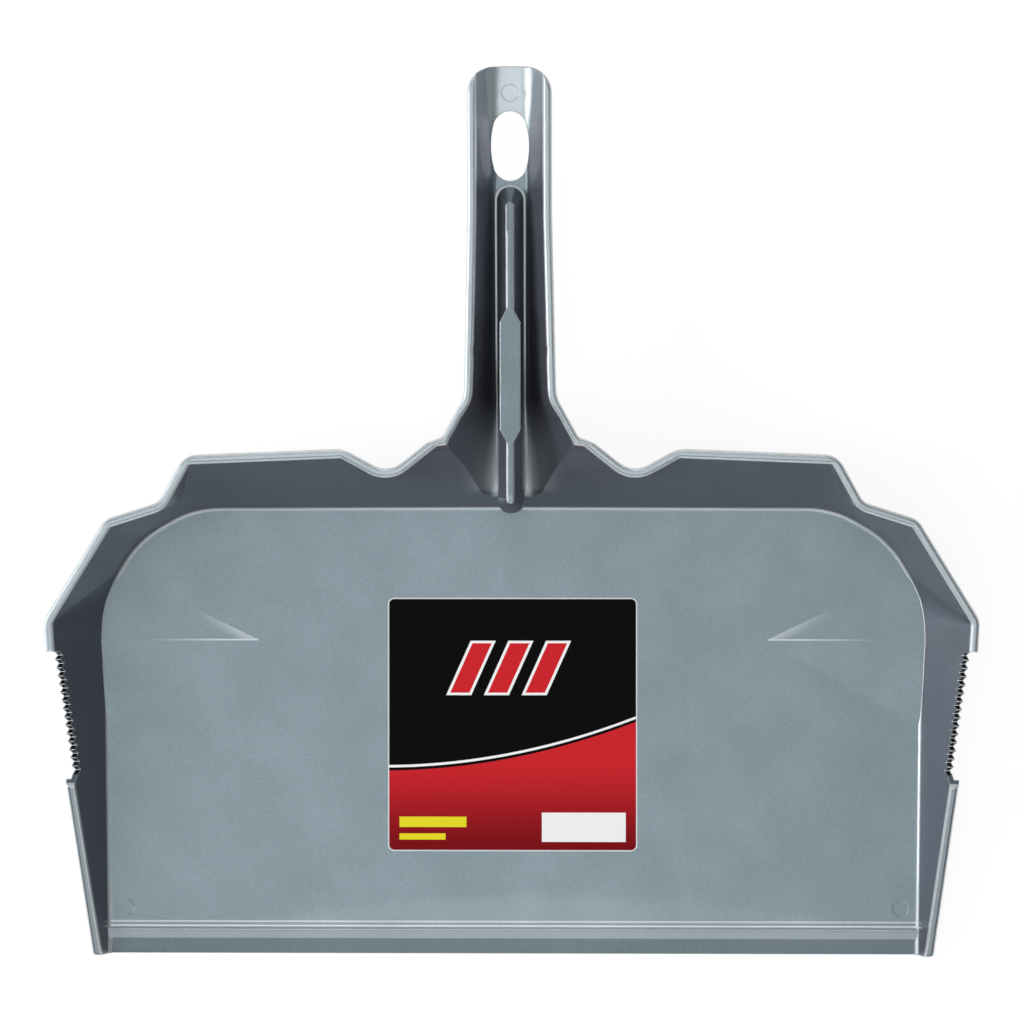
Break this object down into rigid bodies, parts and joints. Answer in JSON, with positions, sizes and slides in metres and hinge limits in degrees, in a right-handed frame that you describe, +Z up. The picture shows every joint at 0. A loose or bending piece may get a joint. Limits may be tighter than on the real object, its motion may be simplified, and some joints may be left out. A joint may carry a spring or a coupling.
{
  "type": "handheld dustpan",
  "caption": "Wide handheld dustpan with a crown-shaped rim, comb notches in its side walls, a ramped front lip, a trough handle with a hang hole, and a label on its floor.",
  "frame": {"origin": "centre of the footprint, on the ground plane under the floor", "axes": "+X across the pan, +Y from the front lip towards the handle, +Z up from the ground"},
  "size_m": [0.4318, 0.4142, 0.0828],
  "materials": {
    "pan_plastic": "metallic-flake grey polypropylene, satin",
    "label_film": "printed film, gloss"
  },
  "bodies": {
    "root": {"pan_moulding": "pan_plastic", "floor_label": "label_film"}
  },
  "joints": []
}
